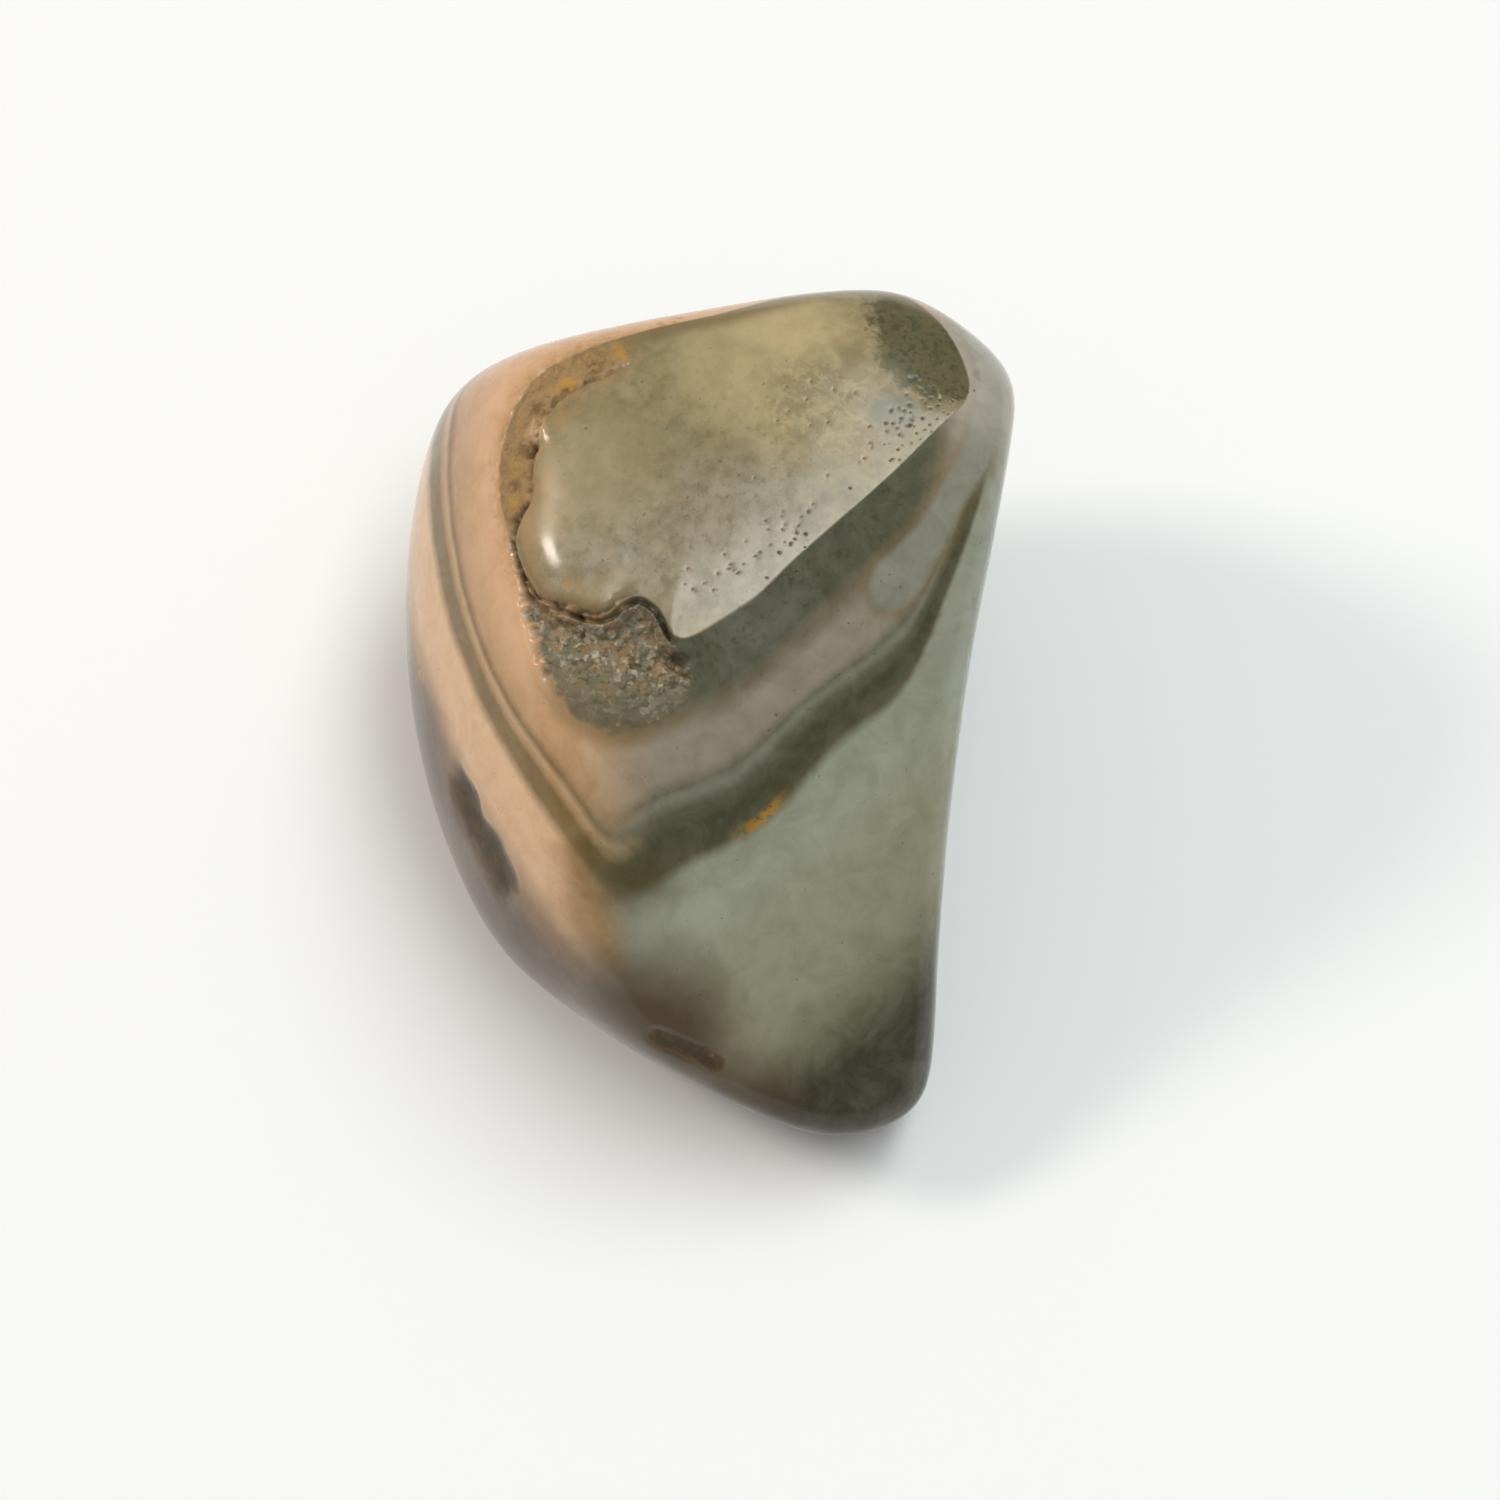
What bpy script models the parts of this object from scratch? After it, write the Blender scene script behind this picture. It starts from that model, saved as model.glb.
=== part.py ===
"""Tumbled chalcedony: one rounded, polished pebble with a natural pocket.

Tumbling wears a broken stone down to a few broad, slightly curved faces that
melt into each other. The pebble is built the same way: each worn face is part
of a large sphere, the stone is what lies behind all of them, and a soft
maximum rounds the ridges between them.
"""
import bmesh
import bpy
from math import copysign, cos, exp, log, radians, sin
from mathutils import Vector

MM = 0.001

HEART_HEIGHT = 11.0 * MM     # height of the point that every face is measured from
RIDGE_ROUNDING = 0.7 * MM    # larger values give softer ridges
LONGEST_REACH = 30.0 * MM    # no face of the stone lies further out than this
BLANK_STEPS = 5              # icosphere subdivisions of the rough blank
FACET_SIZE = 0.95 * MM       # edge length of the finished mesh
POLISH_PASSES = 5            # passes that even out the mesh on the worn skin
SEAM = 0.05 * MM             # points closer than this are one point

# Worn faces: azimuth and elevation of the outward direction in degrees,
# distance from the heart in mm, and radius of the face in mm. A positive
# radius swells outwards, a negative one is a slight hollow.
WORN_FACES = {
    "crown":       (264, 72, 8.5, 40),
    "shoulder":    (-66, 47, 6.7, 400),
    "long_slope":  (-62, 39, 7.0, -45),
    "left_cheek":  (209, 27, 8.9, 30),
    "back_top":    (102, 24, 15.3, 200),
    "back_left":   (138, 17, 17.3, 40),
    "back_right":  (45, 14, 17.8, 40),
    "left":        (180, 5, 13.6, 40),
    "right_side":  (-6, -3, 9.75, -110),
    "tip":         (-56, -14, 18.9, 20),
    "nose":        (-76, -14, 18.1, 25),
    "front_left":  (238, -22, 12.75, 200),
    "left_low":    (203, -10, 12.8, 40),
    "under_front": (-72, -50, 18.6, 60),
    "under_left":  (170, -45, 12.0, 40),
    "under_right": (8, -42, 13.9, 60),
    "under_back":  (95, -38, 14.8, 40),
    "underside":   (270, -85, 11.2, 80),
}

# Natural hollows left in the stone: centre seen from the heart in mm,
# radius across and depth in mm.
HOLLOWS = {
    "crystal_pocket": ((-3.1, -1.6, 7.7), 3.3, 0.9),
    "side_pit":       ((-8.5, -4.9, -0.7), 2.2, 0.45),
    "edge_pit":       ((-0.9, -12.8, -2.3), 1.6, 0.3),
}


def direction(azimuth, elevation):
    """Unit vector for an azimuth and an elevation in degrees."""
    a, e = radians(azimuth), radians(elevation)
    return Vector((cos(e) * cos(a), cos(e) * sin(a), sin(e)))


def face_spheres():
    """Centre and signed radius of the sphere behind each worn face."""
    spheres = []
    for azimuth, elevation, distance, radius in WORN_FACES.values():
        centre = direction(azimuth, elevation) * (distance - radius) * MM
        spheres.append((centre, radius * MM))
    return spheres


def skin(point, spheres):
    """Height of a point above the worn skin, and the outward direction there."""
    heights, ways = [], []
    for centre, radius in spheres:
        arm = point - centre
        side = copysign(1, radius)
        heights.append(side * (arm.length - abs(radius)))
        ways.append(arm.normalized() * side)
    highest = max(heights)
    shares = [exp((height - highest) / RIDGE_ROUNDING) for height in heights]
    outward = sum((way * share for way, share in zip(ways, shares)), Vector())
    return highest + RIDGE_ROUNDING * log(sum(shares)), outward.normalized()


def hollow_depth(point):
    """Depth that the natural hollows take off the skin at a point."""
    depth = 0.0
    for centre, across, deepest in HOLLOWS.values():
        offset = (point - Vector(centre) * MM).length / (across * MM)
        if offset < 1:
            depth += deepest * MM * (1 - offset ** 2) ** 2
    return depth


def reach(ray, spheres):
    """Distance from the heart to the skin along a unit ray, by halving."""
    near, far = 0.0, LONGEST_REACH
    while far - near > SEAM:
        middle = (near + far) / 2
        if skin(ray * middle, spheres)[0] < 0:
            near = middle
        else:
            far = middle
    return near


def rough_blank(spheres):
    """The stone's rough outer form, as a mesh of evenly sized faces."""
    ball = bmesh.new()
    bmesh.ops.create_icosphere(ball, subdivisions=BLANK_STEPS, radius=1.0)
    for vert in ball.verts:
        vert.co *= reach(vert.co.normalized(), spheres)
    rough = bpy.data.meshes.new("blank")
    ball.to_mesh(rough)
    blank = bpy.data.objects.new("blank", rough)
    bpy.context.scene.collection.objects.link(blank)
    remesh = blank.modifiers.new("even_faces", "REMESH")
    remesh.mode = "VOXEL"
    remesh.voxel_size = FACET_SIZE
    evaluated = blank.evaluated_get(bpy.context.evaluated_depsgraph_get())
    ball.clear()
    ball.from_mesh(evaluated.to_mesh())
    bpy.data.objects.remove(blank, do_unlink=True)
    return ball


def polish(mesh, spheres):
    """Bring the blank onto the worn faces and sink its natural hollows."""
    for _ in range(POLISH_PASSES):
        bmesh.ops.smooth_vert(mesh, verts=mesh.verts, factor=0.5,
                              use_axis_x=True, use_axis_y=True, use_axis_z=True)
        for vert in mesh.verts:
            height, outward = skin(vert.co, spheres)
            vert.co -= outward * height
    for vert in mesh.verts:
        height, outward = skin(vert.co, spheres)
        vert.co -= outward * (height + hollow_depth(vert.co))


def cut_rest_spot(mesh):
    """Cut the small flat spot that the stone rests on, exactly at z = 0."""
    for vert in mesh.verts:
        vert.co.z += HEART_HEIGHT
    everything = mesh.verts[:] + mesh.edges[:] + mesh.faces[:]
    cut = bmesh.ops.bisect_plane(mesh, geom=everything, plane_co=(0, 0, 0),
                                 plane_no=(0, 0, -1), clear_outer=True)
    rim = [item for item in cut["geom_cut"] if isinstance(item, bmesh.types.BMEdge)]
    for edge in rim:
        for vert in edge.verts:
            vert.co.z = 0.0
    bmesh.ops.holes_fill(mesh, edges=rim, sides=0)
    bmesh.ops.remove_doubles(mesh, verts=mesh.verts, dist=SEAM)
    bmesh.ops.recalc_face_normals(mesh, faces=mesh.faces)


def centre_on_plan(mesh):
    """Move the stone so that its outline is centred on the Z axis."""
    for axis in (0, 1):
        places = [vert.co[axis] for vert in mesh.verts]
        shift = (min(places) + max(places)) / 2
        for vert in mesh.verts:
            vert.co[axis] -= shift


def polished_stone():
    """Grey-green to cream chalcedony with a tumbled polish."""
    material = bpy.data.materials.new("polished_chalcedony")
    material.use_nodes = True
    shader = material.node_tree.nodes["Principled BSDF"]
    shader.inputs["Base Color"].default_value = (0.36, 0.31, 0.22, 1)
    shader.inputs["Roughness"].default_value = 0.22
    shader.inputs["Metallic"].default_value = 0.0
    return material


def make_stone():
    """Build the whole pebble as one closed solid."""
    spheres = face_spheres()
    stone_mesh = rough_blank(spheres)
    polish(stone_mesh, spheres)
    cut_rest_spot(stone_mesh)
    centre_on_plan(stone_mesh)
    mesh = bpy.data.meshes.new("chalcedony_pebble")
    stone_mesh.to_mesh(mesh)
    stone_mesh.free()
    mesh.shade_smooth()
    mesh.set_sharp_from_angle(angle=radians(40))
    mesh.materials.append(polished_stone())
    stone = bpy.data.objects.new("chalcedony_pebble", mesh)
    bpy.context.scene.collection.objects.link(stone)


for leftover in list(bpy.data.objects):
    bpy.data.objects.remove(leftover, do_unlink=True)
make_stone()
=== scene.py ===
# Looks of a tumbled chalcedony pebble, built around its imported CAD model.
from math import cos, radians, sin

import bmesh
import bpy
import numpy as np
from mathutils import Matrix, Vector, noise


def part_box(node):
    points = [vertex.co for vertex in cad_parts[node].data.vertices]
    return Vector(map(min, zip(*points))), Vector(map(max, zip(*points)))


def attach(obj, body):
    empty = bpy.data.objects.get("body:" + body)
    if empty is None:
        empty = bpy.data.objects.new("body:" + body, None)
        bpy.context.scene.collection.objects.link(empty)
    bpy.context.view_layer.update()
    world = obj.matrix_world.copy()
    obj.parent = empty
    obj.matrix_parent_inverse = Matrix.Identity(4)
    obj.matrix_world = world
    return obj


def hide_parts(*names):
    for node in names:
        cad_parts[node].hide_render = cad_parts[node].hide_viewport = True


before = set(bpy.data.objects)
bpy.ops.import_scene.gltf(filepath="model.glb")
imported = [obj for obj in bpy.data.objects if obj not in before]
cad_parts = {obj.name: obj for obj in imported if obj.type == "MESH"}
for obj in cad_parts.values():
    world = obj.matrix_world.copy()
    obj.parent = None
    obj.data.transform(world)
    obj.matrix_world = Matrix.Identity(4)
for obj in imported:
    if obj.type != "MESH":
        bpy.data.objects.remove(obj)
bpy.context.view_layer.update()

mm = 0.001

# The stone's own form. All lengths here are millimetres from the heart of the
# stone, the point that its faces and layers are measured from.
stone = {
    "heartHeight": 11.0,
    "ridgeRounding": 0.7,
    "reach": 30.0,              # no point of the stone is farther from the heart
    "ballDivisions": 6,
    "searchSteps": 14,
    "meshSize": 0.34,
    "evenPasses": 4,
    "swell": 0.035,             # height of the slow unevenness that tumbling leaves
    "swellWidth": 4.5,
    "ripple": 0.0105,           # height and width of the finer unevenness
    "rippleWidth": 1.5,
    "front": (2.0, 4.0),        # heights out of the crown between which the fine forms set in
    "faces": {                  # azimuth, elevation, distance, radius (negative is hollow)
        "crown": (264, 72, 8.5, 40),
        "shoulder": (-66, 47, 6.7, 400),
        "longSlope": (-62, 39, 7.0, -45),
        "leftCheek": (209, 27, 8.9, 30),
        "backTop": (102, 24, 15.3, 200),
        "backLeft": (138, 17, 17.3, 40),
        "backRight": (45, 14, 17.8, 40),
        "left": (180, 5, 13.6, 40),
        "rightSide": (-6, -3, 9.75, -110),
        "tip": (-56, -14, 18.9, 20),
        "nose": (-76, -14, 18.1, 25),
        "frontLeft": (238, -22, 12.75, 200),
        "leftLow": (203, -10, 12.8, 40),
        "underFront": (-72, -50, 18.6, 60),
        "underLeft": (170, -45, 12.0, 40),
        "underRight": (8, -42, 13.9, 60),
        "underBack": (95, -38, 14.8, 40),
        "underside": (270, -85, 11.2, 80),
    },
}

# Tilted frame in which the growth layers lie: across, along and out of the crown.
tilt = radians(65)
across = Vector((1, 0, 0))
along = Vector((0, sin(tilt), cos(tilt)))
outward = Vector((0, -cos(tilt), sin(tilt)))

# Growth layers: curved sheets. Angle in the tilted frame, dip below it,
# distance, radius, and how thickly the layers grew on that side.
layers = {
    "soft": 0.25,               # how softly one sheet turns into the next
    "sideSoft": 0.2,
    "slope": (-54, 45, -7.3, 60, 0.44),
    "right": (-22, 15, 2.6, 400, 1.2),
    "rightHigh": (12, 10, 10.4, 400, 1.2),
    "top": (98, 40, 9.4, 80, 0.8),
    "leftHigh": (187, 6, 5.0, 60, 0.48),
    "leftLow": (215, 10, 2.5, 30, 0.7),
    # local swellings on the front: across, along, reach, amount
    "swellings": [(-3.0, -1.5, 3.0, 0.5), (7.6, 7.5, 2.6, -0.3), (8.0, 2.0, 2.8, -0.25),
                  (2.0, -3.8, 2.6, -0.28)],
    "front": (-2.0, 3.0),
    "sideLimit": 3.3,           # the far right side gets no deeper than this
    "ridge": -0.45,             # where the cheek's layers give way to the slope's
}

# The crown's own olive layer, outlined as (across, along) points.
crown = {
    "rim": [(-7.3, 6.7), (-7.65, 8.0), (-7.7, 9.5), (-7.4, 10.9), (-6.9, 12.0), (-6.0, 13.0),
            (-4.0, 13.95), (-1.6, 14.65), (0.7, 15.2), (2.9, 15.85), (5.2, 16.4), (7.0, 16.4),
            (8.6, 15.2), (9.5, 13.9), (9.9, 12.6), (9.75, 11.75), (9.3, 11.2), (8.6, 10.57),
            (7.35, 9.3), (6.1, 8.15), (4.9, 7.1), (3.3, 5.7), (1.85, 4.3), (0.15, 3.2), (-0.65, 2.8),
            (-1.15, 2.95), (-1.45, 3.6), (-1.75, 4.0), (-2.3, 4.35), (-2.85, 4.25), (-3.25, 3.95),
            (-3.7, 3.65), (-4.3, 3.65), (-5.2, 3.95), (-5.9, 4.08), (-6.35, 4.4), (-6.75, 5.0),
            (-7.1, 5.8)],
    "lowest": 1.0,              # it ends this far out of the heart on the far side
    "leftSide": (2.0, 4.2),     # how far left, and how far out, its left side sets in
    "leftTop": (2.0, 3.5),
    "lipHeight": 0.24,          # the left edge rolls over into a crumbly groove
    "lipWidth": 1.9,
    "lipFlat": 1.2,
    "lipReach": 6.0,
    "lipLow": 0.45,             # the lip's height where it fades upwards
    "lipFade": (-12.0, -8.5),
    "lipEnd": (-14.5, -12.5),
    "lipWave": 0.15,
    "lipWaveWidth": 2.6,
    "crumbReach": 3,
    "crumbWidths": (0.6, 0.24),
    "fineCrumbs": 0.7,
    "crumbShift": 0.16,         # how far the crumbs push the groove about
    "calmEdge": (0.05, 0.5),
    "marginLeast": 0.12,
    "marginWidth": 1.1,
    "marginWiden": (6.4, 8.4),
    "marginDrop": 0.05,
    "marginRough": 0.9,
    "marginFray": 0.1,
    "marginEdge": (-0.1, 0.12),
    "crackDepth": 0.22,
    "crackWidth": 0.14,
    "crackMean": 0.55,          # the crack comes and goes with the crumbs
    "crackRough": 0.9,
    "crackLeast": 0.1,
    # loose crumbs and holes beside the crack: across, along, size, height
    "crumbs": [(-6.05, 10.7, 0.38, 0.16), (-6.45, 9.95, 0.28, -0.24), (-6.95, 9.4, 0.25, 0.10),
               (-6.75, 11.0, 0.18, -0.12), (-7.1, 8.6, 0.2, -0.10), (-5.5, 12.3, 0.2, 0.08)],
    "creaseStart": (-2.2, -1.0),
    "creaseEnd": (-13.5, -11.0),
    "creaseHeight": 0.24,       # the right edge ends in a fold
    "creaseInside": 1.8,
    "creaseOutside": 0.9,
}

# Crystal pocket under the crown's ledge, as (across, along) points round its rim.
pocket = {
    "rim": [(-6.95, 5.4), (-6.7, 4.95), (-6.35, 4.4), (-5.9, 4.08), (-5.2, 3.95), (-4.3, 3.65),
            (-3.7, 3.65), (-3.25, 3.95), (-2.85, 4.25), (-2.3, 4.35), (-1.75, 4.0), (-1.45, 3.6),
            (-1.15, 2.95), (-0.9, 2.4), (-0.55, 1.9), (-0.3, 1.3), (-0.6, 0.4), (-1.6, -0.5),
            (-2.9, -0.85), (-3.9, -0.7), (-4.7, -0.4), (-5.2, 0.1), (-5.6, 0.7), (-6.0, 1.2),
            (-6.35, 2.15), (-6.65, 3.1), (-6.9, 4.2)],
    "lowest": 4.0,              # it ends this far out of the heart on the far side
    "fray": 0.3,                # unevenness of the rim away from the ledge
    "frayWidth": 0.45,
    "frayReach": 0.6,
    "ledgeDepth": 0.85,
    "ledgeWidth": 0.45,
    "rimRoll": 0.06,            # height and width of the rolled rim on the left
    "rimRollWidth": 0.22,
    "rimRollOut": 0.16,
    "rimRollLeft": (4.6, 5.4),
    "rimRollLow": (-0.6, 0.4),
    "rimRollHigh": (-5.0, -4.0),
    "leftDepth": 0.35,
    "leftWall": (-6.3, -4.9),
    "leftWallLow": (0.4, 1.6),
    "leftShallow": 0.5,
    "leftSteep": 0.9,
    "reach": (0.3, 3.6),        # how far from the ledge the floor rises, from and to
    "slope": 0.9,
    "crevice": 0.22,            # depth and width of the gap under the ledge
    "creviceWidth": (0.12, 0.5),
    "wallStart": (-0.02, 0.06),
    "wall": 0.14,
    "softWall": 0.25,
    # coarse and fine grains: size, height, width, least share, seed
    "grains": [(0.28, 0.085, 0.22, 0.5, 21), (0.16, 0.045, 0.12, 0.4, 22)],
    "grainDip": -0.4,           # how far the gaps between grains sink, in grain heights
    "grainMargin": 0.1,
    "fullHeight": 0.12,         # the height that the finish takes as 1
    "wornLeast": 0.12,          # the grains are worn down towards the lower end
    "wornSpan": (-0.6, 1.6),
    "wornSlant": 0.15,
    "hole": (-0.85, 2.0, 0.42, 0.16),   # across, along, radius, depth
    "holeSquash": 0.8,
    "holeFloor": 0.4,
}

# A pale lilac band beside the crown, outlined as (across, along) points.
lobe = {
    "rim": [(6.1, 4.75), (6.35, 5.5), (7.1, 6.25), (7.8, 6.95), (8.45, 7.9), (9.0, 8.85),
            (9.7, 10.2), (10.1, 11.6), (10.2, 13.0), (9.9, 14.3), (9.2, 15.5), (9.8, 15.9),
            (10.8, 15.0), (11.3, 13.4), (11.4, 11.8), (11.05, 10.2), (10.5, 9.0), (9.75, 7.9),
            (9.1, 6.5), (8.5, 5.4), (7.8, 4.35), (7.1, 3.85), (6.4, 4.0)],
    "lowest": 0.5,
}

pits = {
    "seed": 11,
    "depth": 0.02,
    "edge": (0.5, 1.1),         # share of the radius where the wall starts and ends
    # across, along, reach across, reach along, slant, how many, smallest and largest radius
    "clusters": [
        (8.0, 11.4, 2.0, 1.0, 0.75, 70, 0.03, 0.07),
        (6.8, 10.2, 1.2, 0.9, 0.75, 22, 0.03, 0.06),
        (3.0, 6.6, 2.0, 0.9, 0.75, 26, 0.04, 0.09),
        (0.9, 5.2, 1.3, 0.8, 0.6, 16, 0.04, 0.08),
        (-0.5, 8.5, 5.0, 4.5, 0.0, 26, 0.03, 0.06),
        (4.6, 11.8, 2.0, 1.4, 0.4, 14, 0.03, 0.06),
        (5.0, 2.5, 5.0, 1.6, 0.7, 22, 0.03, 0.055),
    ],
}

# What the shapes pass on to the finish, one number for each point.
maskNames = ("pocket", "margin", "pit", "crack", "rough", "height", "shade", "depth", "flank",
             "edge", "side", "inner", "den", "lobe")

# How near the fine forms a face has to be to be split once, twice and again: in shares of
# the left side and of the rough pits' reach, and otherwise in millimetres.
splitting = {
    "once": {"left": 0, "lip": (-0.5, 2.2), "fold": 0.7, "druse": 0.6, "roughPits": 1.4},
    "twice": {"left": 0.1, "lip": (-0.2, 1.3), "fold": 0.25, "druse": 0.25, "roughPits": 1.25,
              "pits": 0.2},
    "again": {"left": 0.3, "crack": 0.3, "druse": 0.08, "pits": 0.08},
    "foldSpan": (-1.8, 12.5),
    "pitHeight": 4,             # pinholes lie this far out of the heart or farther
}

# Two long rough natural pits near the edge: from, to, reach, depth.
roughPits = {
    "lines": [((-9.4, -3.3, -0.4), (-8.0, -6.4, -0.9), 1.5, 0.22),
              ((-1.8, -12.5, -1.9), (0.3, -13.2, -2.9), 0.55, 0.22)],
    "wallStart": 0.15,          # shares of the reach
    "wallEnd": 1.15,
    "sway": 0.35,
    "limit": 1.6,
    "coarseWave": 1.1,
    "fineWave": 0.4,
    "fineShare": 0.25,
    "evenDepth": 0.75,
    "waveDepth": 0.5,
}


def bearing(azimuth, elevation):
    a, e = radians(azimuth), radians(elevation)
    return Vector((cos(e) * cos(a), cos(e) * sin(a), sin(e)))


def sheetCentre(sheet):      # centre of the sphere that a layer sheet is part of
    angle, dip, distance, radius, _ = sheet
    a, d = radians(angle), radians(dip)
    facing = cos(d) * (cos(a) * across + sin(a) * along) - sin(d) * outward
    return facing * (distance - radius)


def sheetHeight(points, name):
    centre, radius, growth = np.array(sheetCentre(layers[name])), layers[name][3], layers[name][4]
    return np.sign(radius) * (np.linalg.norm(points - centre, axis=1) - abs(radius)) * growth


def softMax(values, soft):
    values = np.array(values)
    top = values.max(axis=0)
    return top + soft * np.log(np.exp((values - top) / soft).sum(axis=0))


def growthDepth(points):     # depth through the growth layers, and the flank it is read on
    names = ("slope", "right", "rightHigh", "top", "leftHigh", "leftLow")
    sheets = {name: sheetHeight(points, name) for name in names}
    side = softMax([sheets["right"], sheets["rightHigh"]], layers["sideSoft"])
    side = np.minimum(side, layers["sideLimit"])
    right = softMax([sheets["slope"], side], layers["sideSoft"])
    cheek = softMax([sheets["leftHigh"], sheets["leftLow"]], layers["soft"])
    left = softMax([cheek, sheets["top"]], layers["soft"])
    depth = softMax([left, right], layers["soft"])
    u, v = flatPlaces(points)
    front = smooth(points @ np.array(outward), *layers["front"])
    for a, b, reach, amount in layers["swellings"]:
        depth += front * amount * roundSwell(u, v, a, b, reach)
    return depth, right - left - layers["ridge"]


def rimCurve(points):        # a smooth closed curve through the points
    points = np.array(points, float)
    before, after = np.roll(points, 1, axis=0), np.roll(points, -1, axis=0)
    later = np.roll(points, -2, axis=0)
    steps = []
    for t in (0.0, 0.25, 0.5, 0.75):
        steps.append(0.5 * (2 * points + (after - before) * t
                            + (2 * before - 5 * points + 4 * after - later) * t ** 2
                            + (3 * points - before - 3 * after + later) * t ** 3))
    return np.stack(steps, axis=1).reshape(-1, 2)


def insideRim(places, rim, lowest=pocket["lowest"]):     # distance inside; negative outside
    u, v = flatPlaces(places)
    rim = rimCurve(rim)
    nearest = np.full(len(u), 1e9)
    inside = np.zeros(len(u), bool)
    for start, end in zip(rim, np.roll(rim, -1, axis=0)):
        side = end - start
        t = np.clip(((u - start[0]) * side[0] + (v - start[1]) * side[1]) / (side @ side), 0, 1)
        gap = np.hypot(u - start[0] - t * side[0], v - start[1] - t * side[1])
        nearest = np.minimum(nearest, gap)
        crosses = (start[1] > v) != (end[1] > v)
        meets = start[0] + (v - start[1]) / (side[1] + 1e-12) * side[0]
        inside ^= crosses & (u < meets)
    outer = places @ np.array(outward) - lowest
    return np.minimum(np.where(inside, nearest, -nearest), outer)


def smooth(value, low, high):
    t = np.clip((value - low) / (high - low), 0, 1)
    return t * t * (3 - 2 * t)


def flatPlaces(points):      # across and along coordinates
    return points @ np.array(across), points @ np.array(along)


faceCentres = np.array([bearing(a, e) * (d - r) for a, e, d, r in stone["faces"].values()])
faceRadii = np.array([float(face[3]) for face in stone["faces"].values()])


def skin(points):            # height above the worn skin, and the way out of it
    arms = points[:, None, :] - faceCentres[None]
    lengths = np.linalg.norm(arms, axis=2)
    heights = np.sign(faceRadii) * (lengths - abs(faceRadii))
    top = heights.max(axis=1, keepdims=True)
    shares = np.exp((heights - top) / stone["ridgeRounding"])
    ways = arms / lengths[:, :, None] * np.sign(faceRadii)[None, :, None]
    out = (ways * shares[:, :, None]).sum(axis=1)
    out /= np.linalg.norm(out, axis=1, keepdims=True)
    return top[:, 0] + stone["ridgeRounding"] * np.log(shares.sum(axis=1)), out


def readPlaces(mesh):
    return np.array([vert.co[:] for vert in mesh.verts])


def writePlaces(mesh, places):
    for vert, place in zip(mesh.verts, places):
        vert.co = place


def settle(mesh):            # bring every point onto the worn skin
    places = readPlaces(mesh)
    for _ in range(2):
        height, out = skin(places)
        places -= out * height[:, None]
    writePlaces(mesh, places)


def addObject(name, data):
    thing = bpy.data.objects.new(name, data)
    bpy.context.scene.collection.objects.link(thing)
    return thing


def newMaterial(name):
    material = bpy.data.materials.new(name)
    material.use_nodes = True
    return material, material.node_tree.nodes["Principled BSDF"]


def evenStone():             # the worn form as a mesh of evenly sized faces
    ball = bmesh.new()
    bmesh.ops.create_icosphere(ball, subdivisions=stone["ballDivisions"], radius=1.0)
    rays = readPlaces(ball)
    rays /= np.linalg.norm(rays, axis=1, keepdims=True)
    near, far = np.zeros(len(rays)), np.full(len(rays), stone["reach"])
    for _ in range(stone["searchSteps"]):
        middle = (near + far) / 2
        inside = skin(rays * middle[:, None])[0] < 0
        near, far = np.where(inside, middle, near), np.where(inside, far, middle)
    writePlaces(ball, rays * near[:, None])
    rough = bpy.data.meshes.new("rough")
    ball.to_mesh(rough)
    blank = addObject("rough", rough)
    remesh = blank.modifiers.new("even", "REMESH")
    remesh.mode = "VOXEL"
    remesh.voxel_size = stone["meshSize"]
    ball.clear()
    ball.from_mesh(blank.evaluated_get(bpy.context.evaluated_depsgraph_get()).to_mesh())
    bpy.data.objects.remove(blank, do_unlink=True)
    for _ in range(stone["evenPasses"]):
        bmesh.ops.smooth_vert(ball, verts=ball.verts, factor=0.5,
                              use_axis_x=True, use_axis_y=True, use_axis_z=True)
        settle(ball)
    return ball


def pitPlaces():             # across, along and radius of every small pit
    draw = np.random.default_rng(pits["seed"])
    found = []
    for u, v, wide, high, slant, count, least, most in pits["clusters"]:
        for _ in range(count):
            a, b = draw.normal(0, 0.5, 2)
            du, dv = a * wide, b * high
            found.append((u + du * cos(slant) - dv * sin(slant),
                          v + du * sin(slant) + dv * cos(slant), draw.uniform(least, most)))
    return np.array(found)


def leftShare(places):       # the crown's left side, where it ends in a lip
    u, _ = flatPlaces(places)
    return smooth(-u, *crown["leftSide"]) * smooth(places @ np.array(outward), *crown["leftTop"])


def marginWidth(places):     # narrow below the lip, wide above it
    _, v = flatPlaces(places)
    return crown["marginLeast"] + crown["marginWidth"] * smooth(v, *crown["marginWiden"])


def refine(mesh, wanted):
    places = np.array([face.calc_center_median()[:] for face in mesh.faces])
    chosen = wanted(places)
    edges = {edge for face, take in zip(mesh.faces, chosen) if take for edge in face.edges}
    bmesh.ops.subdivide_edges(mesh, edges=list(edges), cuts=1, use_grid_fill=True)
    settle(mesh)


def gapToLine(places, start, end):       # distance from a straight stretch
    start, side = np.array(start), np.array(end) - np.array(start)
    share = np.clip((places - start) @ side / (side @ side), 0, 1)
    return np.linalg.norm(places - start - share[:, None] * side, axis=1)


def roughNear(places, margin):
    rough = np.zeros(len(places), bool)
    for start, end, size, _ in roughPits["lines"]:
        rough |= gapToLine(places, start, end) < size * margin
    return rough


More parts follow.
